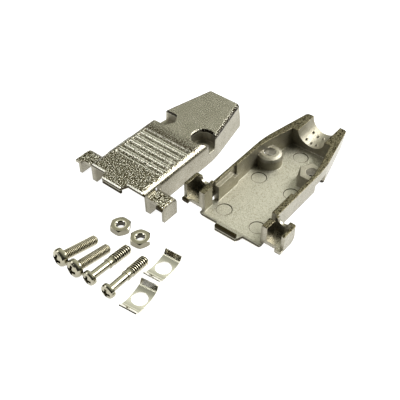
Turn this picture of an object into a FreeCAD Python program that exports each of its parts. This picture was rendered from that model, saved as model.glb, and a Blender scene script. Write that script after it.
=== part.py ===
import FreeCAD, Part
import math
import os

# D-sub hood for a 9-way connector, taken apart: two zinc die-cast half shells from one mould,
# two clamp screws with their nuts, two jackscrews and two bowed spring clips, each piece lying
# as it comes to rest on a bench. Millimetres, X across the shells, Y towards the cable end, Z up.

# Half shell, in its own frame: outer face at z = 0, parting plane at z = half_height,
# front of the ears at y = 0
half_height = 7.45
body_half_width = 10.35
cable_half_width = 6.6
side_draft = 0.35
cable_side_draft = 0.95
body_length = 45.9
rear_draft = 0.2
taper_length = 17.3
taper_radius = 34.0
bend_steps = 4
floor_thickness = 1.1
front_lip = 0.95
long_edge_radius = 1.8
long_edge_rear_radius = 1.0
corner_radius = 1.1
lip_edge_radius = 0.3

# Cavity and rim
side_wall = 1.15
cavity_draft = 0.2
cavity_rear_inset = 0.3
saddle_length = 8.6
cavity_rear_slope = 1.1
cavity_taper_lead = 2.4
pad_length = 8.9
pad_thickness = 0.7
pad_step = 1.3
rim_width = 0.65
catch_width = 1.9
catch_height = 2.4

# Tab that keeps the connector flange in the slot
tab_root_width = 8.4
tab_front_width = 6.6
tab_reach = 2.15
tab_lip_height = 2.3
tab_lip_thickness = 0.75

# Ears with the jackscrew seats
jackscrew_spacing = 24.99
ear_reach = 3.5
ear_half_height = 5.65
ear_depth = 5.5
ear_wall = 0.9
ear_plate = 1.1
ear_inner_wall = 1.0
ear_edge_radius = 0.7
ear_corner_radius = 2.2
ear_lip_width = 2.0
ear_lip_reach = 1.0
slot_width = 2.0
seat_clearance = 0.2

# Screw stations
station_inset = 3.35
station_lead = 1.4
station_depth = 3.9
station_web = 1.05
counterbore_clearance = 0.9
counterbore_chamfer = 0.3
nut_clearance = 0.45
station_wall = 0.55
boss_draft = 0.8
post_shoulder = 1.2
screw_clearance = 0.8

# Cable saddle, grip teeth, grooves and ejector marks
cable_diameter = 8.8
tooth_width = 0.85
tooth_height = 1.0
tooth_sink = 0.2
tooth_rows = (2.2, 6.0)
tooth_places = (-2.5, -0.75, 1.0)
groove_count = 6
groove_pitch = 2.25
groove_start = 7.9
groove_width = 1.4
groove_floor_width = 0.7
groove_depth = 0.2
groove_inset = 0.1
mark_diameter = 4.3
mark_depth = 0.12
mark_half_spacing = 5.4
front_mark_distance = 3.9
station_mark_gap = 7.2
rear_mark_inset = 11.5
rear_mark_offset = 0.9

# M2.6 clamp screws and nuts
screw_diameter = 2.6
screw_length = 10.15
screw_head_diameter = 4.9
screw_head_height = 2.1
screw_crown = 0.35
screw_head_edge = 0.85
screw_recess_width = 0.8
screw_recess_length = 3.0
screw_recess_depth = 1.2
nut_width = 5.0
nut_height = 1.8
nut_bore = 2.2
nut_chamfer_share = 0.6
thread_chamfer = 0.35

# 4-40 jackscrews: thread, a plain collar of the thread's size, and a necked shank
jack_thread_diameter = 2.75
jack_thread_length = 5.6
jack_collar_length = 1.7
jack_shank_diameter = 2.15
jack_shank_length = 5.6
jack_head_diameter = 4.0
jack_head_height = 1.6
jack_crown = 0.25
jack_head_edge = 0.6
jack_recess_width = 0.7
jack_recess_length = 2.6
jack_recess_depth = 0.9
jack_neck_step = 0.25

# Spring clips
clip_width = 5.0
clip_thickness = 0.35
clip_span = 7.2
clip_bow = 0.6
clip_hole = 4.2
clip_far_flange = 1.5
clip_near_flange = 1.5
clip_far_angle = 42.0
clip_near_angle = 20.0

# How the pieces lie, as seen from above: x, y and the turn about the vertical in degrees
upper_shell_place = (-17.9, -12.39, -0.8)
lower_shell_place = (13.4, -3.55, 0.0)
screw_places = ((-12.72, -38.95, -9.0), (-7.44, -39.25, -4.6))
jack_places = ((-2.8, -39.1, -1.7), (3.54, -39.2, 0.5))
nut_places = ((-9.5, -21.39, 0.3), (-2.47, -21.54, 8.4))
clip_places = ((8.25, -25.0, 4.0), (10.1, -35.9, 6.5))

# Worked out from the sizes above
taper_start = body_length - taper_length
body_face_half_width = body_half_width - side_draft
cable_face_half_width = cable_half_width - cable_side_draft
cavity_half_width = body_half_width - side_wall
cavity_rear_half_width = cable_half_width - cavity_rear_inset
cavity_length = body_length - saddle_length
pad_half_width = cavity_half_width - pad_thickness
overall_width = jackscrew_spacing + 2 * ear_reach
station_half_spacing = body_half_width - station_inset
station_distance = taper_start - station_lead
cavity_taper_start = taper_start - cavity_taper_lead
mark_distances = (front_mark_distance, station_distance - station_mark_gap)

up = FreeCAD.Vector(0, 0, 1)
forward = FreeCAD.Vector(0, 1, 0)
across = FreeCAD.Vector(1, 0, 0)
ample = 2.0
touching = 0.001

# A rounded shoulder on a repeated piece is two bevels that meet this far along
bevel_share = 1 / 3


def vec(x, y, z=0.0):
    return FreeCAD.Vector(x, y, z)


def box(x0, x1, y0, y1, z0, z1):
    return Part.makeBox(x1 - x0, y1 - y0, z1 - z0, vec(x0, y0, z0))


def polygon_prism(points, z0, z1):
    corners = [vec(x, y, z0) for x, y in points]
    return Part.Face(Part.makePolygon(corners + corners[:1])).extrude(up * (z1 - z0))


def hexagon_wire(width, x, y, z):
    """A hexagon with two of its flats facing along Y."""
    radius = width / 2 / math.cos(math.pi / 6)
    turns = [k * math.pi / 3 for k in range(6)]
    corners = [vec(x + radius * math.cos(t), y + radius * math.sin(t), z) for t in turns]
    return Part.makePolygon(corners + corners[:1])


def hexagon_prism(width, x, y, z0, z1):
    return Part.Face(hexagon_wire(width, x, y, z0)).extrude(up * (z1 - z0))


def plan_outline(front_half, rear_half, y_front, y_rear, y_bend, z):
    """Straight sides, an easy bend and a taper to the rear, as one closed wire."""
    lean = math.atan((front_half - rear_half) / (y_rear - y_bend))
    reach = taper_radius * math.tan(lean / 2)
    bend = vec(front_half, y_bend, z)
    start = vec(front_half, y_bend - reach, z)
    end = bend + vec(-math.sin(lean), math.cos(lean)) * reach
    centre = vec(front_half - taper_radius, y_bend - reach, z)
    middle = centre + vec(math.cos(lean / 2), math.sin(lean / 2)) * taper_radius
    right = [vec(front_half, y_front, z), start, middle, end, vec(rear_half, y_rear, z)]
    left = [vec(-p.x, p.y, p.z) for p in reversed(right)]
    edges = [Part.makeLine(right[0], right[1]),
             Part.Arc(right[1], right[2], right[3]).toShape(),
             Part.makeLine(right[3], right[4]),
             Part.makeLine(right[4], left[0]),
             Part.makeLine(left[0], left[1]),
             Part.Arc(left[1], left[2], left[3]).toShape(),
             Part.makeLine(left[3], left[4]),
             Part.makeLine(left[4], right[0])]
    return Part.Wire(edges)


def bend_reach():
    lean = math.atan((body_half_width - cable_half_width) / (body_length - taper_start))
    return taper_radius * math.tan(lean / 2)


def half_width_at(y, front_half, rear_half):
    """Half the body's width at y: straight, then an easy bend and the taper."""
    reach = bend_reach()
    slope = (front_half - rear_half) / (body_length - taper_start)
    if y <= taper_start - reach:
        return front_half
    if y >= taper_start + reach:
        return front_half - slope * (y - taper_start)
    return front_half - slope * (y - taper_start + reach) ** 2 / (4 * reach)


def body_section(y, tilt):
    """The outside of the body across Y: leaning walls, and long edges sharper behind the stations."""
    face_half = half_width_at(y, body_face_half_width, cable_face_half_width)
    rim_half = half_width_at(y, body_half_width, cable_half_width)
    radius = long_edge_radius if y < station_distance else long_edge_rear_radius
    lean = math.atan((rim_half - face_half) / half_height)
    run = radius * math.tan(math.pi / 4 - lean / 2)
    corner = vec(face_half, 0)
    centre = vec(face_half - run, 0, radius)
    points = [vec(rim_half, 0, half_height), corner + vec(math.sin(lean), 0, math.cos(lean)) * run,
              centre + (corner - centre).normalize() * radius, vec(face_half - run, 0)]
    points = [vec(p.x, y - tilt * (1 - p.z / half_height), p.z) for p in points]
    mirrored = [vec(-p.x, p.y, p.z) for p in points]
    return Part.Wire([Part.makeLine(points[0], points[1]),
                      Part.Arc(points[1], points[2], points[3]).toShape(),
                      Part.makeLine(points[3], mirrored[3]),
                      Part.Arc(mirrored[3], mirrored[2], mirrored[1]).toShape(),
                      Part.makeLine(mirrored[1], mirrored[0]),
                      Part.makeLine(mirrored[0], points[0])])


def edges_where(shape, test):
    return [edge for edge in shape.Edges if test(edge.BoundBox)]


def body_block():
    """The outside of the body: an even front, a lofted taper and rear corners rounded in plan."""
    reach = bend_reach()
    y_even = taper_start - reach
    front = Part.Face(body_section(-front_lip, 0)).extrude(forward * (y_even + front_lip))
    sections = [body_section(y_even + 2 * reach * k / bend_steps, 0) for k in range(bend_steps + 1)]
    rear = Part.makeLoft(sections + [body_section(body_length, rear_draft)], True, True)
    block = front.fuse(rear)
    slope = (body_half_width - cable_half_width) / (body_length - taper_start)
    y_front = -front_lip - ample
    wide = cable_half_width + slope * (body_length - y_front)
    plan = polygon_prism([(-wide, y_front), (wide, y_front), (cable_half_width, body_length),
                          (-cable_half_width, body_length)], -ample, half_height)
    corners = edges_where(plan, lambda b: b.ZLength > half_height and b.YMin > body_length - touching)
    return block.common(plan.makeFillet(corner_radius, corners))


def cavity_block():
    z_floor, z_rim = floor_thickness, half_height
    y_front = -front_lip - tab_reach - ample
    floor = plan_outline(cavity_half_width - cavity_draft, cavity_rear_half_width - cavity_draft, y_front,
                         cavity_length + cavity_rear_slope, cavity_taper_start, z_floor)
    rim = plan_outline(cavity_half_width, cavity_rear_half_width, y_front, cavity_length,
                       cavity_taper_start, z_rim)
    above = rim.copy()
    above.translate(up * ample)
    return Part.makeLoft([floor, rim], True, True).fuse(Part.makeLoft([rim, above], True, True))


def tab():
    """The centred tab with its turned-in lip, which keeps the connector flange in its slot."""
    y_root, y_front = -front_lip, -front_lip - tab_reach
    root, front = tab_root_width / 2, tab_front_width / 2
    plate = polygon_prism([(-root, y_root + front_lip), (-root, y_root), (-front, y_front),
                           (front, y_front), (root, y_root), (root, y_root + front_lip)], 0, floor_thickness)
    lip = box(-front, front, y_front, y_front + tab_lip_thickness, 0, tab_lip_height)
    lip = lip.makeFillet(lip_edge_radius, edges_where(lip, lambda b: b.ZMin > tab_lip_height - touching
                                                      and b.XLength > front and b.YMin < y_front + touching))
    return plate.fuse(lip)


def ear(side):
    """One jackscrew ear with its small front lip, before it is hollowed."""
    x_out, x_in = overall_width / 2, body_half_width - ear_wall
    z_plate = half_height - ear_half_height
    block = box(x_in, x_out, 0, ear_depth, z_plate, half_height)
    lip = box(x_out - ear_lip_width, x_out, -ear_lip_reach, ear_wall, z_plate, z_plate + ear_plate)
    block = block.fuse(lip).removeSplitter()
    low_rear = edges_where(block, lambda b: b.YMin > ear_depth - touching and b.ZMax < z_plate + touching)
    block = block.makeFillet(ear_corner_radius, low_rear)
    outer = edges_where(block, lambda b: b.XMin > x_out - touching and b.ZMax < z_plate + touching)
    block = block.makeFillet(ear_edge_radius, outer)
    if side < 0:
        block = block.mirror(vec(0, 0), across)
    return block


def ear_hollow(side):
    """What is open in an ear: its box, the jackscrew seat and the slot for the connector's flange."""
    x_in = body_half_width + ear_inner_wall / 2
    x_cavity = cavity_half_width - ample
    x_out = overall_width / 2 - ear_wall
    z_floor = half_height - ear_half_height + ear_plate
    y_rear = ear_depth - ear_wall
    top = half_height + ample
    hollow = box(x_in, x_out, -ear_lip_reach - ample, y_rear, z_floor, top)
    slot_start = ear_depth - slot_width
    hollow = hollow.fuse(box(x_cavity, x_in + ear_wall / 2, slot_start, y_rear, z_floor, top))
    hollow = hollow.fuse(box(x_cavity, body_half_width - ear_inner_wall / 4, slot_start, ear_depth,
                             floor_thickness, top))
    radius = jack_thread_diameter / 2 + seat_clearance
    axis_start = vec(jackscrew_spacing / 2, y_rear - ear_wall, half_height)
    hollow = hollow.fuse(Part.makeCylinder(radius, ear_depth, axis_start, forward))
    if side < 0:
        hollow = hollow.mirror(vec(0, 0, 0), across)
    return hollow


def round_post():
    """The post round the screw head's counterbore, with a softened shoulder."""
    radius = screw_head_diameter / 2 + counterbore_clearance + station_wall
    top = station_depth + station_web
    post = turned_shaft([(0, radius), (top - post_shoulder, radius),
                         (top - post_shoulder * bevel_share, radius - post_shoulder * bevel_share),
                         (top, radius - post_shoulder)])
    post.rotate(vec(0, 0), across, 90)
    post.translate(vec(-station_half_spacing, station_distance))
    return post


def nut_boss():
    """The hexagonal boss round the nut pocket, drafted, with its outer side in the side wall."""
    width = nut_width + 2 * nut_clearance + station_wall
    top = station_depth + station_web
    x, y = station_half_spacing, station_distance
    base = hexagon_wire(width + 2 * boss_draft, x, y, 0)
    return Part.makeLoft([base, hexagon_wire(width, x, y, top)], True, True)


def station_cuts():
    """Counterbore and nut pocket from the outer face, both running out through the side walls."""
    y = station_distance
    bore = screw_head_diameter / 2 + counterbore_clearance
    cut = Part.makeCylinder(bore, station_depth + ample, vec(-station_half_spacing, y, -ample))
    cut = cut.fuse(Part.makeCone(bore + counterbore_chamfer, bore, counterbore_chamfer,
                                 vec(-station_half_spacing, y, 0)))
    width = nut_width + 2 * nut_clearance
    cut = cut.fuse(hexagon_prism(width, station_half_spacing, y, -ample, station_depth))
    cut = cut.fuse(box(station_half_spacing, body_half_width + ample, y - width / 2, y + width / 2,
                       -ample, station_depth))
    for side in (-1, 1):
        hole = Part.makeCylinder((screw_diameter + screw_clearance) / 2, half_height,
                                 vec(side * station_half_spacing, y, 0))
        cut = cut.fuse(hole)
    return cut


def grip_teeth():
    """Rows of small pyramids that bite into the cable, standing on the floor of the saddle."""
    radius = cable_diameter / 2
    half = tooth_width / 2
    teeth = []
    for row in tooth_rows:
        for place in tooth_places:
            base = Part.makePolygon([vec(-half, -half), vec(half, -half), vec(half, half), vec(-half, half),
                                     vec(-half, -half)])
            point = Part.makePolygon([vec(-touching, -touching), vec(touching, -touching),
                                      vec(touching, touching), vec(-touching, touching),
                                      vec(-touching, -touching)])
            point.translate(up * tooth_height)
            tooth = Part.makeLoft([base, point], True, True)
            tooth.translate(vec(0, cavity_length + row, half_height - radius - tooth_sink))
            tooth.rotate(vec(0, 0, half_height), forward, -math.degrees(math.asin(place / radius)))
            teeth.append(tooth)
    return teeth


def grooves():
    """Shallow grip grooves across the outer face, with sloping sides."""
    half = body_face_half_width - long_edge_radius - groove_inset
    cuts = []
    for k in range(groove_count):
        y = groove_start + k * groove_pitch
        mouth, root = groove_width / 2, groove_floor_width / 2
        over = (mouth - root) + mouth
        corners = [vec(-half, y - over, -groove_depth), vec(-half, y + over, -groove_depth),
                   vec(-half, y + root, groove_depth), vec(-half, y - root, groove_depth)]
        cuts.append(Part.Face(Part.makePolygon(corners + corners[:1])).extrude(across * (2 * half)))
    return cuts


def rim_pads():
    """Thicker wall stretches behind the slots: full height on the right, stepped down on the left."""
    y0, y1 = ear_depth, ear_depth + pad_length
    inner, outer = pad_half_width, body_half_width - rim_width
    right = box(inner, outer, y0, y1, floor_thickness / 2, half_height)
    left = box(-outer, -inner, y0, y1, floor_thickness / 2, half_height - pad_step)
    step = box(-outer, -cavity_half_width + ample, y0, y1, half_height - pad_step, half_height + ample)
    return right, left, step


def catch_recess():
    """The small window at the rear end of the left pad."""
    y1 = ear_depth + pad_length
    z1 = half_height - rim_width
    return box(-body_half_width + rim_width, -pad_half_width + ample, y1 - catch_width, y1 + touching,
               z1 - catch_height, z1)


def half_shell():
    """One half of the casting; the other half is the same piece turned over."""
    body = body_block()
    shell = body.cut(cavity_block())
    for side in (-1, 1):
        shell = shell.fuse(ear(side))
    clear = box(-body_half_width, body_half_width, -front_lip - ample, 0, floor_thickness,
                half_height + ample)
    shell = shell.cut(clear).fuse(tab())
    right, left, step = rim_pads()
    shell = shell.cut(step).fuse([right, left])
    for side in (-1, 1):
        shell = shell.cut(ear_hollow(side))
    stations = round_post().fuse(nut_boss()).common(body)
    shell = shell.fuse(stations).cut(station_cuts())
    shell = shell.cut(catch_recess())
    saddle_start = vec(0, cavity_length - ample, half_height)
    saddle = Part.makeCylinder(cable_diameter / 2, body_length, saddle_start, forward)
    shell = shell.cut(saddle).fuse(grip_teeth())
    shell = shell.cut(grooves())
    places = [(side * mark_half_spacing, y) for side in (-1, 1) for y in mark_distances]
    places.append((-rear_mark_offset, body_length - rear_mark_inset))
    marks = [Part.makeCylinder(mark_diameter / 2, ample, vec(x, y, floor_thickness - mark_depth))
             for x, y in places]
    return shell.cut(marks).removeSplitter()


def cross_recess(width, length, depth, y_top):
    """A cross recess in a head whose top is at y_top, the axis being Y."""
    bars = [box(-length / 2, length / 2, y_top - ample, y_top + depth, -width / 2, width / 2),
            box(-width / 2, width / 2, y_top - ample, y_top + depth, -length / 2, length / 2)]
    cone = Part.makeCone(width, width / 2, depth, vec(0, y_top, 0), forward)
    return bars[0].fuse([bars[1], cone])


def head_solid(diameter, height, crown, edge, recess):
    """A pan head along Y with its seat at y = 0: a low crown, an eased edge and a cross recess."""
    rim = diameter / 2
    shoulder = crown - height
    blank = turned_shaft([(-height, recess[0] / 2), (shoulder, rim - edge),
                          (shoulder + edge * bevel_share, rim - edge * bevel_share),
                          (shoulder + edge, rim), (0, rim)])
    return blank.cut(cross_recess(*recess, -height))


def turned_shaft(stations):
    """A shaft along Y turned from (y, radius) stations."""
    points = [vec(0, stations[0][0])] + [vec(r, y) for y, r in stations] + [vec(0, stations[-1][0])]
    return Part.Face(Part.makePolygon(points + points[:1])).revolve(vec(0, 0), forward, 360)


def clamp_screw():
    radius = screw_diameter / 2
    shaft = turned_shaft([(0, radius), (screw_length - thread_chamfer, radius),
                          (screw_length, radius - thread_chamfer)])
    head = head_solid(screw_head_diameter, screw_head_height, screw_crown, screw_head_edge,
                      (screw_recess_width, screw_recess_length, screw_recess_depth))
    return head.fuse(shaft).removeSplitter()


def jackscrew():
    shank, thread = jack_shank_diameter / 2, jack_thread_diameter / 2
    y_collar = jack_shank_length
    y_end = y_collar + jack_collar_length + jack_thread_length
    shaft = turned_shaft([(0, shank), (y_collar, shank), (y_collar + jack_neck_step, thread),
                          (y_end - thread_chamfer, thread), (y_end, thread - thread_chamfer)])
    head = head_solid(jack_head_diameter, jack_head_height, jack_crown, jack_head_edge,
                      (jack_recess_width, jack_recess_length, jack_recess_depth))
    return head.fuse(shaft).removeSplitter()


def hex_nut():
    """A hexagon nut with both faces chamfered and a chamfered bore."""
    corner = nut_width / 2 / math.cos(math.pi / 6)
    flat = nut_width / 2
    rise = (corner - flat) * nut_chamfer_share
    blank = turned_shaft([(0, flat), (rise, corner), (nut_height - rise, corner), (nut_height, flat)])
    blank.rotate(vec(0, 0), across, 90)
    nut = blank.common(hexagon_prism(nut_width, 0, 0, 0, nut_height))
    bore = nut_bore / 2
    mouth = (screw_diameter - nut_bore) / 2
    nut = nut.cut(Part.makeCylinder(bore, nut_height))
    nut = nut.cut(Part.makeCone(bore + mouth, bore, mouth))
    return nut.cut(Part.makeCone(bore, bore + mouth, mouth, vec(0, 0, nut_height - mouth)))


def spring_clip():
    """A bowed leaf with a large hole and two turned-up ends, lying on its belly."""
    half, sag = clip_span / 2, clip_bow
    bow_radius = (half * half + sag * sag) / (2 * sag)
    centre_z = bow_radius + clip_thickness

    def bow(radius):
        lean = math.asin(half / bow_radius)
        reach, z = radius * math.sin(lean), centre_z - radius * math.cos(lean)
        ends = [vec(0, -reach, z), vec(0, reach, z)]
        return Part.Arc(ends[0], vec(0, 0, centre_z - radius), ends[1]).toShape(), ends

    lower, low_ends = bow(bow_radius + clip_thickness)
    upper, high_ends = bow(bow_radius)
    leaf = Part.Face(Part.Wire([lower, Part.makeLine(low_ends[1], high_ends[1]), upper,
                                Part.makeLine(high_ends[0], low_ends[0])])).extrude(across * clip_width)
    lean = math.degrees(math.asin(half / bow_radius))
    for side, angle, length in ((1, clip_far_angle, clip_far_flange),
                                (-1, clip_near_angle, clip_near_flange)):
        high = high_ends[(side + 1) // 2]
        flange = box(0, clip_width, 0, length, -clip_thickness, 0)
        flange.rotate(vec(0, 0), across, lean + angle)
        if side < 0:
            flange = flange.mirror(vec(0, 0), forward)
        flange.translate(high)
        elbow = Part.makeCylinder(clip_thickness, clip_width, high, across)
        wedge = elbow.cut(box(-ample, clip_width + ample, high.y - ample, high.y + ample,
                              high.z, high.z + ample))
        leaf = leaf.fuse([wedge, flange])
    leaf.translate(vec(-clip_width / 2, 0, 0))
    hole = Part.makeCylinder(clip_hole / 2, 2 * ample, vec(0, 0, -ample))
    return leaf.cut(hole).removeSplitter()


def lie_down(shape, seat_radius, tip_radius, tip_distance, place):
    """Lays a screw on its head's edge and its tip, and turns it about the vertical."""
    x, y, turn = place
    lean = math.degrees(math.atan((seat_radius - tip_radius) / tip_distance))
    shape.rotate(vec(0, 0), across, -lean)
    shape.rotate(vec(0, 0), up, turn)
    return set_down(shape, x, y)


def set_down(shape, x, y):
    shape.translate(vec(x, y, -shape.optimalBoundingBox(False, False).ZMin))
    return shape


def all_pieces():
    """Every piece in its place, before the whole set is centred."""
    pieces = {}
    lower = half_shell()
    upper = lower.copy()
    upper.rotate(vec(0, 0), forward, 180)
    for name, shell, (x, y, turn) in (("upper_half_shell", upper, upper_shell_place),
                                      ("lower_half_shell", lower, lower_shell_place)):
        shell.rotate(vec(0, 0), up, turn)
        pieces[name] = set_down(shell, x, y)
    for k, place in enumerate(screw_places):
        pieces["clamp_screw_%d" % (k + 1)] = lie_down(
            clamp_screw(), screw_head_diameter / 2, screw_diameter / 2, screw_length - thread_chamfer, place)
    jack_length = jack_shank_length + jack_collar_length + jack_thread_length - thread_chamfer
    for k, place in enumerate(jack_places):
        pieces["jackscrew_%d" % (k + 1)] = lie_down(
            jackscrew(), jack_head_diameter / 2, jack_thread_diameter / 2, jack_length, place)
    for k, (x, y, turn) in enumerate(nut_places):
        nut = hex_nut()
        nut.rotate(vec(0, 0), up, turn)
        pieces["hex_nut_%d" % (k + 1)] = set_down(nut, x, y)
    for k, (x, y, turn) in enumerate(clip_places):
        clip = spring_clip()
        clip.rotate(vec(0, 0), up, turn)
        pieces["spring_clip_%d" % (k + 1)] = set_down(clip, x, y)
    return pieces


def main():
    os.makedirs("parts", exist_ok=True)
    pieces = all_pieces()
    whole = Part.Compound(list(pieces.values())).optimalBoundingBox(False, False)
    for name, shape in pieces.items():
        shape.translate(vec(-whole.Center.x, -whole.Center.y))
        shape.exportStep("parts/%s.step" % name)


main()
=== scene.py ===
import math

import bmesh
import bpy
from mathutils import Euler, Matrix, Vector


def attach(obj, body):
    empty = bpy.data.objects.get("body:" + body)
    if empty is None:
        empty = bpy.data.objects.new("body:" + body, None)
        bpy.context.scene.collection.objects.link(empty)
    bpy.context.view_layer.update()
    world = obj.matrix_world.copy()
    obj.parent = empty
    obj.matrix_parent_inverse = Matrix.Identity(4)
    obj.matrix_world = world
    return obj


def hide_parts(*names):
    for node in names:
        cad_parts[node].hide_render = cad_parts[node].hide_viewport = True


# Looks for the D-sub hood that lies in pieces: the nickel-plated castings, the bright fasteners
# with their real threads, and the polished spring clips. Metres; pattern sizes are in millimetres.
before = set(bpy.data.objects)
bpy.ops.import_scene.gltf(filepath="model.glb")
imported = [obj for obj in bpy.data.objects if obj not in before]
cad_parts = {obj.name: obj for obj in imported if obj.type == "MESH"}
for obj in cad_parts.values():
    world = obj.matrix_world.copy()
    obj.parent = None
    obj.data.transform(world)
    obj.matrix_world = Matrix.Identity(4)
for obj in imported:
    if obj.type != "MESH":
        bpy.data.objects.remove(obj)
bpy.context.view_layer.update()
mm = 0.001

# The castings' own frames: millimetres from the front of the ears, z from the outer face
shell_height = 7.45
lower_shell_frame = (Vector((15.656, -4.059, 0.0)) * mm, Euler((0, 0, 0)))
upper_shell_frame = (Vector((-15.644, -12.899, shell_height)) * mm, Euler((0, math.pi, math.radians(-0.8))))
front_plate_end = 7.2
groove_start = 7.9
groove_pitch = 2.25
groove_half_width = 8.1
last_groove_end = 20.2
brown_end = 24.5
body_half_width = 10.35
body_front = -0.95
tab_front = -3.1
tab_half_width = 4.0
ear_top_height = 1.8
taper_start = 26.5
taper_end = 45.9
wall_middle_front = 9.75
wall_middle_rear = 5.3
taper_edge_start = 29.0
taper_edge_height = 1.0
inner_floor_height = 1.1
mark_radius = 2.15
mark_centres = ((-5.4, 3.9), (5.4, 3.9), (-5.4, 20.0), (5.4, 20.0), (-0.9, 34.4))

# Widths of the patterns on the metal, drawn as coarse as they need to show in the render
sand_grain = 1 / 3.0
fine_grain = 1 / 4.6
cloud_width = 1 / 0.3
pit_width = 1 / 5.0
tool_mark_width = 1 / 2.2

# Soft edges of the castings' masks in millimetres: where a mask is empty, then where it is full
outer_face = (0.45, 0.1)
above_outer_face = (0.02, 0.06)
below_taper_edge = (taper_edge_height, taper_edge_height - 0.1)
along_taper = (taper_edge_start, taper_edge_start + 0.5)
at_rim = (shell_height - 0.1, shell_height - 0.02)
past_body = (body_half_width, body_half_width + 0.2)
at_ear_top = (ear_top_height + 0.4, ear_top_height + 0.1)
within_walls = (-0.05, 0.05)
inner_floor_upwards = (inner_floor_height - 0.25, inner_floor_height - 0.15)
at_inner_floor = (inner_floor_height + 0.2, inner_floor_height + 0.1)
mark_line = (0.13, 0.04)
grooves_begin = (groove_start - 1.0, groove_start - 0.9)
grooves_end = (last_groove_end, last_groove_end - 0.1)
grooves_side = (groove_half_width + 0.1, groove_half_width)
crest_offset = 0.72
crest_line = (0.3, 0.12)
root_line = (0.42, 0.25)
stain_begins = (last_groove_end - 1.5, last_groove_end + 0.3)
stain_ends = (brown_end, last_groove_end + 0.5)
ahead_of_ears = (-0.3, -0.5)
above_front_edge = (0.3, 0.45)
short_of_right_ear = (10.4, 10.3)
body_front_line = (body_front + 0.4, body_front + 0.3)
tab_front_line = (tab_front + 0.4, tab_front + 0.3)
beside_tab = (tab_half_width, tab_half_width + 0.2)
front_line_height = (0.35, 0.25)

# How strong the grain is on the rear of the outer face, and on the rim and inner floor, next to the front
rear_grain = 0.42
weak_grain = 0.3

# Roughness of the plate outside and inside, and in millimetres the rounding of edges and the bumps' depths
satin_roughness = 0.27
matte_roughness = 0.55
edge_rounding = 0.3
grain_depth = 0.2
fine_depth = 0.05

# Levels of the noise patterns between which each effect comes in
cloud_levels = (0.3, 0.7)
shadow_levels = (0.48, 0.34)
roughness_levels = (0.35, 0.65)
hollow_shade_levels = (0.49, 0.41)
crown_highlight_levels = (0.55, 0.6)
crest_highlight_levels = (0.4, 0.48)
stain_levels = (0.58, 0.48)
taper_edge_dark_levels = (0.62, 0.54)
pit_levels = (0.5, 0.38)
tool_mark_levels = (0.3, 0.7)

# Screws: where the thread starts and ends below the head, and the plain shaft's (distance, radius).
# A screw leans because it rests on its head's rim and on the thread's end, where the tip's chamfer begins
tip_chamfer = 0.35
clamp_diameter = 2.6
clamp_head_diameter = 4.9
clamp_pitch = 0.45
clamp_thread = (0.1, 10.15)
clamp_shaft = [(-0.1, 1.3), (0.1, 1.3)]
clamp_lean = math.atan((clamp_head_diameter - clamp_diameter) / 2 / (clamp_thread[1] - tip_chamfer))
clamp_head_height = 2.1
clamp_turns = (-9.0, -4.6)
jack_diameter = 2.75
jack_head_diameter = 4.0
jack_pitch = 0.635
jack_thread = (7.3, 12.9)
jack_shaft = [(-0.1, 1.075), (5.6, 1.075), (5.66, 1.375), (5.95, 1.375), (6.05, 1.25), (6.9, 1.25),
              (7.3, 1.375)]
jack_lean = math.atan((jack_head_diameter - jack_diameter) / 2 / (jack_thread[1] - tip_chamfer))
jack_head_height = 1.6
jack_turns = (-1.7, 0.5)
nut_bore_radius = 1.1
thread_depth = 0.58
crest_start = 0.0
crest_end = 0.2
root_start = 0.5
root_end = 0.7
turn_steps = 48
shell_overlap = 0.05
head_cut = 0.02
weld_distance = 0.002
sliver_size = 0.0005
sharp_angle = math.radians(28)

# Camera
target = Vector((2.256, -0.509, 0.0)) * mm
camera_azimuth = 38.5
camera_elevation = 44.25
camera_distance = 0.20247
sensor_width = 36.0
camera_lens = 66.71

# Room: from which height and depth of the direction its light grows, and from what to what
room_heights = (0.08, 0.62, 0.04, 0.95)
room_depths = (-0.2, 0.45, 0.1, 1.0)
floor_radius = 4.0


def linear(colour):
    """An sRGB hex colour as linear RGBA."""
    parts = [int(colour[k:k + 2], 16) / 255 for k in (1, 3, 5)]
    return [p / 12.92 if p <= 0.04045 else ((p + 0.055) / 1.055) ** 2.4 for p in parts] + [1.0]


def add(tree, kind, inputs=(), **settings):
    """Adds a node with its settings and returns its first live output.

    Inputs are links, numbers or hex colours, given by name or in the order of the live sockets.
    """
    made = tree.nodes.new("ShaderNode" + kind)
    for name, value in settings.items():
        setattr(made, name, value)
    if isinstance(inputs, dict):
        pairs = [(made.inputs[name], value) for name, value in inputs.items()]
    else:
        pairs = zip([socket for socket in made.inputs if socket.enabled], inputs)
    for socket, value in pairs:
        if isinstance(value, bpy.types.NodeSocket):
            tree.links.new(value, socket)
        else:
            socket.default_value = linear(value) if isinstance(value, str) else value
    return next((socket for socket in made.outputs if socket.enabled), None)


def overlap(tree, *masks):
    """Where all the masks hold at once."""
    shared = masks[0]
    for mask in masks[1:]:
        shared = add(tree, "Math", (shared, mask), operation="MULTIPLY")
    return shared


def in_millimetres(tree, centre, turn=(0, 0, 0)):
    """The shaded point in the millimetres of a piece's own frame."""
    position = add(tree, "NewGeometry")
    return add(tree, "Mapping", {"Vector": position, "Location": centre, "Rotation": turn,
                                 "Scale": (mm, mm, mm)}, vector_type="TEXTURE")


def new_material(name):
    material = bpy.data.materials.new(name)
    material.use_nodes = True
    tree = material.node_tree
    return material, tree, tree.nodes["Principled BSDF"]


def mark_ring_shade(tree, local):
    """Painted shade: thin dark rings along the edge the ejector pins left on the inner floor."""
    nearest = None
    for x, y in mark_centres:
        away = add(tree, "VectorMath", (local, (x, y, inner_floor_height)), operation="DISTANCE")
        past = add(tree, "Math", (away, mark_radius), operation="SUBTRACT")
        off = add(tree, "Math", (past,), operation="ABSOLUTE")
        nearest = off if nearest is None else add(tree, "Math", (nearest, off), operation="MINIMUM")
    return add(tree, "MapRange", (nearest, *mark_line))


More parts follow.
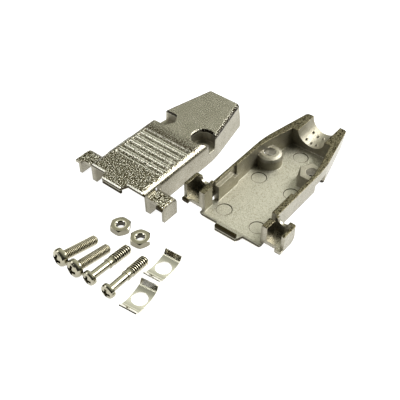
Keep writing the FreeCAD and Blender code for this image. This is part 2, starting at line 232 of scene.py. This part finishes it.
def groove_lines(tree, wide, y):
    """Masks for the painted highlights on the two crests of each groove and the painted shade on its floor.
    """
    phase = add(tree, "Math", (y, groove_start - groove_pitch / 2), operation="SUBTRACT")
    phase = add(tree, "Math", (phase, groove_pitch), operation="MODULO")
    phase = add(tree, "Math", (phase, groove_pitch / 2), operation="SUBTRACT")
    off = add(tree, "Math", (phase,), operation="ABSOLUTE")
    ribbed = overlap(tree, add(tree, "MapRange", (y, *grooves_begin)),
                     add(tree, "MapRange", (y, *grooves_end)), add(tree, "MapRange", (wide, *grooves_side)))
    from_crest = add(tree, "Math", (off, crest_offset), operation="SUBTRACT")
    from_crest = add(tree, "Math", (from_crest,), operation="ABSOLUTE")
    crest = add(tree, "MapRange", (from_crest, *crest_line))
    root = add(tree, "MapRange", (off, *root_line))
    return overlap(tree, crest, ribbed), overlap(tree, root, ribbed)


def casting_masks(tree, wide, y, z):
    """Where the casting's kinds of surface are: its sandy outer face, ears, edges and rim, and its inside."""
    where = {"outer": add(tree, "MapRange", (z, *outer_face)), "rim": add(tree, "MapRange", (z, *at_rim))}
    where["taper_edge"] = overlap(tree, add(tree, "MapRange", (z, *above_outer_face)),
                                  add(tree, "MapRange", (z, *below_taper_edge)),
                                  add(tree, "MapRange", (y, *along_taper)))
    front = add(tree, "MapRange", (y, last_groove_end + 1.5, front_plate_end, rear_grain, 1.0))
    ear_top = overlap(tree, add(tree, "MapRange", (wide, *past_body)),
                      add(tree, "MapRange", (z, *at_ear_top)))
    blasted = overlap(tree, where["outer"], front)
    where["blasted"] = add(tree, "Math", (blasted, ear_top), operation="MAXIMUM")
    where["sandy"] = add(tree, "Math", (where["blasted"], where["rim"]), operation="MAXIMUM")

    # the inside lies between the middles of the side walls, which close in along the taper
    wall_middle = add(tree, "MapRange", (y, taper_start, taper_end, wall_middle_front, wall_middle_rear))
    between = add(tree, "Math", (wall_middle, wide), operation="SUBTRACT")
    where["inside"] = overlap(tree, add(tree, "MapRange", (between, *within_walls)),
                              add(tree, "MapRange", (z, *inner_floor_upwards)))
    where["floor"] = overlap(tree, where["inside"], add(tree, "MapRange", (z, *at_inner_floor)))
    return where


def casting_surface(tree, shader, where, grain, fine):
    """Satin plate with a cast grain that is deep where it is sandy, and a matte, even inside."""
    matte = overlap(tree, where["inside"], add(tree, "MapRange", (where["rim"], 0.0, 1.0, 1.0, 0.3)))
    rough = add(tree, "MapRange", (matte, 0.0, 1.0, satin_roughness, matte_roughness))
    uneven = add(tree, "MapRange", (fine, *roughness_levels, -0.04, 0.06))
    tree.links.new(add(tree, "Math", (rough, uneven), operation="ADD"), shader.inputs["Roughness"])

    weak = add(tree, "Math", (where["rim"], where["floor"]), operation="MAXIMUM")
    coarse = add(tree, "Math", (where["blasted"], where["taper_edge"]), operation="MAXIMUM")
    coarse = add(tree, "Math", (coarse, overlap(tree, weak, weak_grain)), operation="MAXIMUM")
    depth = add(tree, "MapRange", (coarse, 0.0, 1.0, 0.3, 1.0))

    # small edges are rounded in a casting, so they catch a thin line of light
    rounded = add(tree, "Bevel", {"Radius": edge_rounding * mm}, samples=8)
    fine_bump = add(tree, "Bump", {"Height": fine, "Strength": 0.7, "Distance": fine_depth * mm,
                                   "Normal": rounded})
    bump = add(tree, "Bump", {"Height": grain, "Strength": depth, "Distance": grain_depth * mm,
                              "Normal": fine_bump})
    tree.links.new(bump, shader.inputs["Normal"])


def front_edge_highlights(tree, wide, y, z):
    """Painted highlights: the bright lines along the front edges of the body and its tab."""
    body = overlap(tree, add(tree, "MapRange", (y, *body_front_line)),
                   add(tree, "MapRange", (wide, *beside_tab)))
    either = add(tree, "Math", (body, add(tree, "MapRange", (y, *tab_front_line))), operation="MAXIMUM")
    return overlap(tree, either, add(tree, "MapRange", (z, *front_line_height)))


def casting_colour(tree, local, x, wide, y, z, where, grain, fine):
    """Grey plate with clouds, under layers of darker plate, a brown stain and dark specks, painted highlights
    on crowns, crests and front edges, a floor painted lighter, and painted shade in hollows, grooves, mark
    rings and under the front edge.
    """
    clouds = add(tree, "TexNoise", {"Vector": local, "Scale": 1 / cloud_width, "Detail": 2.0,
                                    "Roughness": 0.5})
    pits = add(tree, "TexNoise", {"Vector": local, "Scale": 1 / pit_width, "Detail": 2.0, "Roughness": 0.5})
    crest, root = groove_lines(tree, wide, y)
    stain = overlap(tree, add(tree, "MapRange", (y, *stain_begins)), add(tree, "MapRange", (y, *stain_ends)),
                    where["outer"], add(tree, "MapRange", (grain, *stain_levels, 0.2, 1.0)))
    # painted shade: a dark band on the front faces under the front edge
    painted_shade_under_edge = overlap(tree, add(tree, "MapRange", (y, *ahead_of_ears)),
                         add(tree, "MapRange", (z, *above_front_edge)),
                         add(tree, "MapRange", (x, *short_of_right_ear)))
    layers = (
        # shadow in the fine grain, olive plate where it is sandy and a duller one on the rim
        (add(tree, "MapRange", (fine, *shadow_levels, 0.0, 0.55)), "#6f6a58"),
        (add(tree, "MapRange", (where["blasted"], rear_grain, 1.0, 0.0, 0.9)), "#665f45"),
        (overlap(tree, where["rim"], 0.9), "#746e59"),
        # painted shade on the floors of the grooves and in the hollows of the grain, painted highlights on
        # the crowns of the grain and as dots on the grooves' crests
        (overlap(tree, where["outer"], root, 0.8), "#4b432e"),
        (overlap(tree, where["sandy"], add(tree, "MapRange", (grain, *hollow_shade_levels))), "#241d0c"),
        (overlap(tree, where["blasted"], add(tree, "MapRange", (grain, *crown_highlight_levels))), "#fbf8ec"),
        (overlap(tree, crest, add(tree, "MapRange", (grain, *crest_highlight_levels)), where["outer"]), "#fffdf2"),
        # a brown stain behind the last groove, dark specks along the taper's edges, and painted shade under
        # the front edge
        (stain, "#332510"),
        (overlap(tree, where["taper_edge"], add(tree, "MapRange", (grain, *taper_edge_dark_levels))), "#1f1a0f"),
        (painted_shade_under_edge, "#3b3524"),
        # painted highlights along the front edges
        (overlap(tree, front_edge_highlights(tree, wide, y, z), 0.9), "#fffdf4"),
        # the inner floor painted lighter where light falls on it, with its pits and the painted shade of its
        # mark rings
        (overlap(tree, where["floor"], 0.6), "#cfcdc0"),
        (overlap(tree, where["floor"], add(tree, "MapRange", (pits, *pit_levels, 0.0, 0.6))), "#7d7864"),
        (overlap(tree, where["floor"], mark_ring_shade(tree, local)), "#3a3424"),
    )
    cloudy = add(tree, "MapRange", (clouds, *cloud_levels))
    tint = add(tree, "Mix", (cloudy, "#9a9688", "#aaa699"), data_type="RGBA")
    for mask, colour in layers:
        tint = add(tree, "Mix", (mask, tint, colour), data_type="RGBA")
    return tint


def nickel_plated_casting(name, place):
    """Nickel-plated zinc die casting: sand grain in front that sparkles with bumps and painted highlights,
    satin behind, matte grey inside.
    """
    material, tree, shader = new_material(name)
    local = in_millimetres(tree, *place)
    x, y, z = add(tree, "SeparateXYZ", (local,)).node.outputs
    wide = add(tree, "Math", (x,), operation="ABSOLUTE")
    grain = add(tree, "TexNoise", {"Vector": local, "Scale": 1 / sand_grain, "Detail": 2.0, "Roughness": 0.6})
    fine = add(tree, "TexNoise", {"Vector": local, "Scale": 1 / fine_grain, "Detail": 2.0, "Roughness": 0.6})
    where = casting_masks(tree, wide, y, z)
    casting_surface(tree, shader, where, grain, fine)
    tint = casting_colour(tree, local, x, wide, y, z, where, grain, fine)
    tree.links.new(tint, shader.inputs["Base Color"])
    shader.inputs["Metallic"].default_value = 1.0
    return material


def bright_plate(name, colour, roughness, haze):
    """Nickel plate or polish on steel: it mirrors the softboxes, hazed by fine marks of the making."""
    material, tree, shader = new_material(name)
    position = add(tree, "NewGeometry")
    marks = add(tree, "TexNoise", {"Vector": position, "Scale": 1 / (tool_mark_width * mm), "Detail": 3.0})
    rough = add(tree, "MapRange", (marks, *tool_mark_levels, roughness * 0.9, roughness * 1.1))
    tree.links.new(rough, shader.inputs["Roughness"])
    rounded = add(tree, "Bevel", {"Radius": 0.06 * mm}, samples=6)
    bump = add(tree, "Bump", {"Height": marks, "Strength": haze, "Distance": 0.02 * mm, "Normal": rounded})
    tree.links.new(bump, shader.inputs["Normal"])
    shader.inputs["Base Color"].default_value = linear(colour)
    shader.inputs["Metallic"].default_value = 1.0
    return material, tree, shader


def tapped_nut(node, colour):
    """Nickel-plated tapped steel: bright flats, a painted highlight on the chamfer and painted shade in the
    thread's turns in the bore.
    """
    material, tree, shader = bright_plate("nickel_plated_tapped_steel_" + node, colour, 0.11, 0.25)
    corners = [Vector(corner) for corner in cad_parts[node].bound_box]
    local = in_millimetres(tree, sum(corners, Vector()) / 8)
    height = add(tree, "SeparateXYZ", (local,)).node.outputs["Z"]
    flat = add(tree, "VectorMath", (local, (1.0, 1.0, 0.0)), operation="MULTIPLY")
    radius = add(tree, "VectorMath", (flat,), operation="LENGTH")
    chamfer = add(tree, "MapRange", (radius, nut_bore_radius + 0.55, nut_bore_radius + 0.4))
    bore = add(tree, "MapRange", (radius, nut_bore_radius + 0.12, nut_bore_radius + 0.04))
    turn = add(tree, "Math", (height, 2 * math.pi / clamp_pitch), operation="MULTIPLY")
    wave = add(tree, "Math", (turn,), operation="SINE")
    turns = add(tree, "MapRange", (wave, -0.4, 0.4, 0.75, 1.0))
    # painted highlight on the chamfer, then painted shade in the thread's turns down the bore
    tint = add(tree, "Mix", (chamfer, colour, "#d2cec0"), data_type="RGBA")
    tint = add(tree, "Mix", (overlap(tree, bore, turns), tint, "#1f1b10"), data_type="RGBA")
    tree.links.new(tint, shader.inputs["Base Color"])
    return material


def screw_frame(node, turn, lean, head_height):
    """The frame of a screw that lies in its CAD place: origin under the head, Y towards the tip."""
    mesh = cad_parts[node].data
    spin = Matrix.Rotation(math.radians(turn), 4, "Z") @ Matrix.Rotation(-lean, 4, "X")
    back = spin.inverted()
    points = [back @ v.co for v in mesh.vertices]
    low = Vector([min(p[k] for p in points) for k in range(3)])
    high = Vector([max(p[k] for p in points) for k in range(3)])
    middle = (low + high) / 2
    return spin @ Matrix.Translation((middle.x, low.y + head_height * mm, middle.z))


def ring_of(bm, place, step_points):
    return [bm.verts.new(place @ (Vector(point) * mm)) for point in step_points]


def shaft_mesh(bm, place, stations):
    """A plain round shaft through (distance, radius) stations."""
    rings = []
    for y, radius in stations:
        turns = [2 * math.pi * step / turn_steps for step in range(turn_steps)]
        rings.append(ring_of(bm, place, [(radius * math.sin(a), y, radius * math.cos(a)) for a in turns]))
    for near, far in zip(rings, rings[1:]):
        for step in range(turn_steps):
            following = (step + 1) % turn_steps
            bm.faces.new([near[step], near[following], far[following], far[step]])


def thread_mesh(bm, place, crest, pitch, start, end):
    """A right-hand thread as four rows of points for each turn: crest, crest, root, root."""
    root = crest - thread_depth * pitch
    rows = [(crest_start, crest), (crest_end, crest), (root_start, root), (root_end, root)]
    grid = []
    along = []
    for turn in range(math.floor(start / pitch) - 1, math.ceil(end / pitch) + 1):
        for share, radius in rows:
            points = []
            along.append([])
            for step in range(turn_steps):
                y = min(max((turn + share + step / turn_steps) * pitch, start), end)
                along[-1].append(y)
                r = min(radius, crest - tip_chamfer + max(end - y, 0.0))
                angle = 2 * math.pi * step / turn_steps
                points.append((r * math.sin(angle), y, r * math.cos(angle)))
            grid.append(ring_of(bm, place, points))
    for k in range(len(grid) - len(rows) - 1):
        for step in range(turn_steps):
            wraps = step + 1 == turn_steps
            following = 0 if wraps else step + 1
            shift = len(rows) if wraps else 0
            corners = ((k, step), (k + shift, following), (k + shift + 1, following), (k + 1, step))
            heights = [along[row][column] for row, column in corners]
            if max(heights) > start and min(heights) < end:
                face = bm.faces.new([grid[row][column] for row, column in corners])
                # root and lower flank faces take the painted-shade material, the others the painted-highlight
                # crest material
                is_root = k % len(rows) in (1, 2)
                face.material_index = 1 if is_root else 2


def add_shell(whole, bm):
    """Welds and caps one shell of a screw and joins it to the others."""
    bmesh.ops.remove_doubles(bm, verts=bm.verts[:], dist=weld_distance * mm)
    bmesh.ops.dissolve_degenerate(bm, edges=bm.edges[:], dist=sliver_size * mm)
    loose = [vert for vert in bm.verts if not vert.link_faces]
    bmesh.ops.delete(bm, geom=loose, context="VERTS")
    bmesh.ops.holes_fill(bm, edges=[edge for edge in bm.edges if edge.is_boundary], sides=0)
    bmesh.ops.recalc_face_normals(bm, faces=bm.faces[:])
    shell = bpy.data.meshes.new("shell")
    bm.to_mesh(shell)
    bm.free()
    whole.from_mesh(shell)
    bpy.data.meshes.remove(shell)


def threaded_screw(node, turn, lean, head_height, pitch, shaft, span, materials):
    """The CAD screw's head with a plain shaft and a real thread: three closed shells that overlap."""
    place = screw_frame(node, turn, lean, head_height)
    whole = bmesh.new()
    head = bmesh.new()
    head.from_mesh(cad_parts[node].data)
    forward = (place.to_3x3() @ Vector((0, 1, 0))).normalized()
    bmesh.ops.bisect_plane(head, geom=head.verts[:] + head.edges[:] + head.faces[:],
                           plane_co=place @ Vector((0, head_cut * mm, 0)), plane_no=forward,
                           clear_outer=True)
    add_shell(whole, head)
    plain = bmesh.new()
    shaft_mesh(plain, place, shaft)
    add_shell(whole, plain)
    thread = bmesh.new()
    thread_mesh(thread, place, shaft[-1][1], pitch, span[0] - shell_overlap, span[1])
    add_shell(whole, thread)
    for face in whole.faces:
        face.smooth = True
    for edge in whole.edges:
        edge.smooth = edge.calc_face_angle(math.pi) < sharp_angle
    mesh = bpy.data.meshes.new(node + "_threaded")
    whole.to_mesh(mesh)
    whole.free()
    for material in materials:
        mesh.materials.append(material)
    piece = bpy.data.objects.new(node + "_threaded", mesh)
    bpy.context.scene.collection.objects.link(piece)
    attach(piece, "root")
    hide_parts(node)


def dress(node, material):
    """Gives a CAD node its material; its shape stays the CAD one."""
    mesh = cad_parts[node].data
    for k in range(len(mesh.materials)):
        mesh.materials[k] = material


def floor():
    """A white light table under the pieces, so the ground is pure white and almost without shadow."""
    bpy.ops.mesh.primitive_circle_add(vertices=96, radius=floor_radius, fill_type="NGON", location=(0, 0, 0))
    made = bpy.context.object
    made.name = "floor"

    # opal glass lit from below: an even white that no highlight breaks
    material, _, shader = new_material("lit_opal_glass")
    shader.inputs["Base Color"].default_value = linear("#aaaaaa")
    shader.inputs["Roughness"].default_value = 0.9
    shader.inputs["Specular IOR Level"].default_value = 0.0
    shader.inputs["Emission Color"].default_value = linear("#ffffff")
    shader.inputs["Emission Strength"].default_value = 0.78
    made.data.materials.append(material)


def softbox(name, azimuth, elevation, distance, width, height, radiance):
    """A rectangular softbox that faces the pieces; azimuth 0 is behind them, 90 to their right."""
    a, e = math.radians(azimuth), math.radians(elevation)
    away = Vector((math.sin(a) * math.cos(e), math.cos(a) * math.cos(e), math.sin(e)))
    light = bpy.data.lights.new(name, "AREA")
    light.shape = "RECTANGLE"
    light.size = width
    light.size_y = height
    light.energy = radiance * math.pi * width * height
    holder = bpy.data.objects.new(name, light)
    holder.location = away * distance
    holder.rotation_euler = away.to_track_quat("Z", "Y").to_euler()
    bpy.context.scene.collection.objects.link(holder)


def room():
    """A room that is dark in front and along the horizon and lit softly behind and above."""
    world = bpy.data.worlds.new("studio")
    bpy.context.scene.world = world
    world.use_nodes = True
    tree = world.node_tree
    direction = add(tree, "SeparateXYZ", (add(tree, "TexCoord"),)).node.outputs
    strength = overlap(tree, add(tree, "MapRange", (direction["Z"], *room_heights)),
                       add(tree, "MapRange", (direction["Y"], *room_depths)))
    background = tree.nodes["Background"]
    background.inputs["Color"].default_value = linear("#fdfff1")
    tree.links.new(strength, background.inputs["Strength"])


def camera():
    a, e = math.radians(camera_azimuth), math.radians(camera_elevation)
    back = Vector((math.sin(a) * math.cos(e), -math.cos(a) * math.cos(e), math.sin(e)))
    data = bpy.data.cameras.new("camera")
    data.sensor_width = sensor_width
    data.lens = camera_lens
    data.clip_start = 0.01
    data.clip_end = 20.0
    holder = bpy.data.objects.new("camera", data)
    holder.location = target + back * camera_distance
    holder.rotation_euler = back.to_track_quat("Z", "Y").to_euler()
    bpy.context.scene.collection.objects.link(holder)
    bpy.context.scene.camera = holder


# Cold-headed steel in bright nickel: heads and shafts give sharp, warm grey reflections
screw_plate = bright_plate("nickel_plated_cold_headed_steel", "#a9a594", 0.15, 0.3)[0]

# Rolled threads: the crests are painted paler than the plate, a painted highlight; the clamp screws' crests
# are soft, the jackscrews' crests glint more
clamp_crest = bright_plate("nickel_plated_rolled_steel_crests_painted_highlight", "#cfcab6", 0.42, 0.3)[0]
jack_crest = bright_plate("nickel_plated_rolled_steel_crests_painted_bright_highlight", "#c3beaa", 0.28, 0.3)[0]

# Their roots are painted dark, a painted shade, so the ridges read: mid shade on the clamp screws, near-black
# shade on the jackscrews
clamp_root = bright_plate("nickel_plated_rolled_steel_roots_painted_shade", "#5f5943", 0.45, 0.3)[0]
jack_root = bright_plate("nickel_plated_rolled_steel_roots_painted_deep_shade", "#29241a", 0.4, 0.3)[0]

# Pressed spring steel, polished: nearly a mirror, so a clip is white or dark with its angle
clip_plate = bright_plate("polished_pressed_spring_steel", "#dbd8cc", 0.14, 0.01)[0]

dress("lower_half_shell", nickel_plated_casting("nickel_plated_zinc_die_casting_lower", lower_shell_frame))
dress("upper_half_shell", nickel_plated_casting("nickel_plated_zinc_die_casting_upper", upper_shell_frame))
for node in ("hex_nut_1", "hex_nut_2"):
    dress(node, tapped_nut(node, "#8f8b7c"))
for node in ("spring_clip_1", "spring_clip_2"):
    dress(node, clip_plate)
for k, turn in enumerate(clamp_turns):
    threaded_screw("clamp_screw_%d" % (k + 1), turn, clamp_lean, clamp_head_height, clamp_pitch, clamp_shaft,
                   clamp_thread, (screw_plate, clamp_root, clamp_crest))
for k, turn in enumerate(jack_turns):
    threaded_screw("jackscrew_%d" % (k + 1), turn, jack_lean, jack_head_height, jack_pitch, jack_shaft,
                   jack_thread, (screw_plate, jack_root, jack_crest))
bpy.context.scene.view_settings.view_transform = "Standard"
bpy.context.scene.view_settings.look = "Medium High Contrast"
floor()
room()
softbox("back_right_softbox", azimuth=34, elevation=41, distance=0.55, width=0.44, height=0.28, radiance=8.5)
softbox("left_softbox", azimuth=-105, elevation=38, distance=0.7, width=0.3, height=0.3, radiance=2.0)
softbox("front_left_softbox", azimuth=-147, elevation=36, distance=0.6, width=0.28, height=0.34, radiance=3.0)
camera()
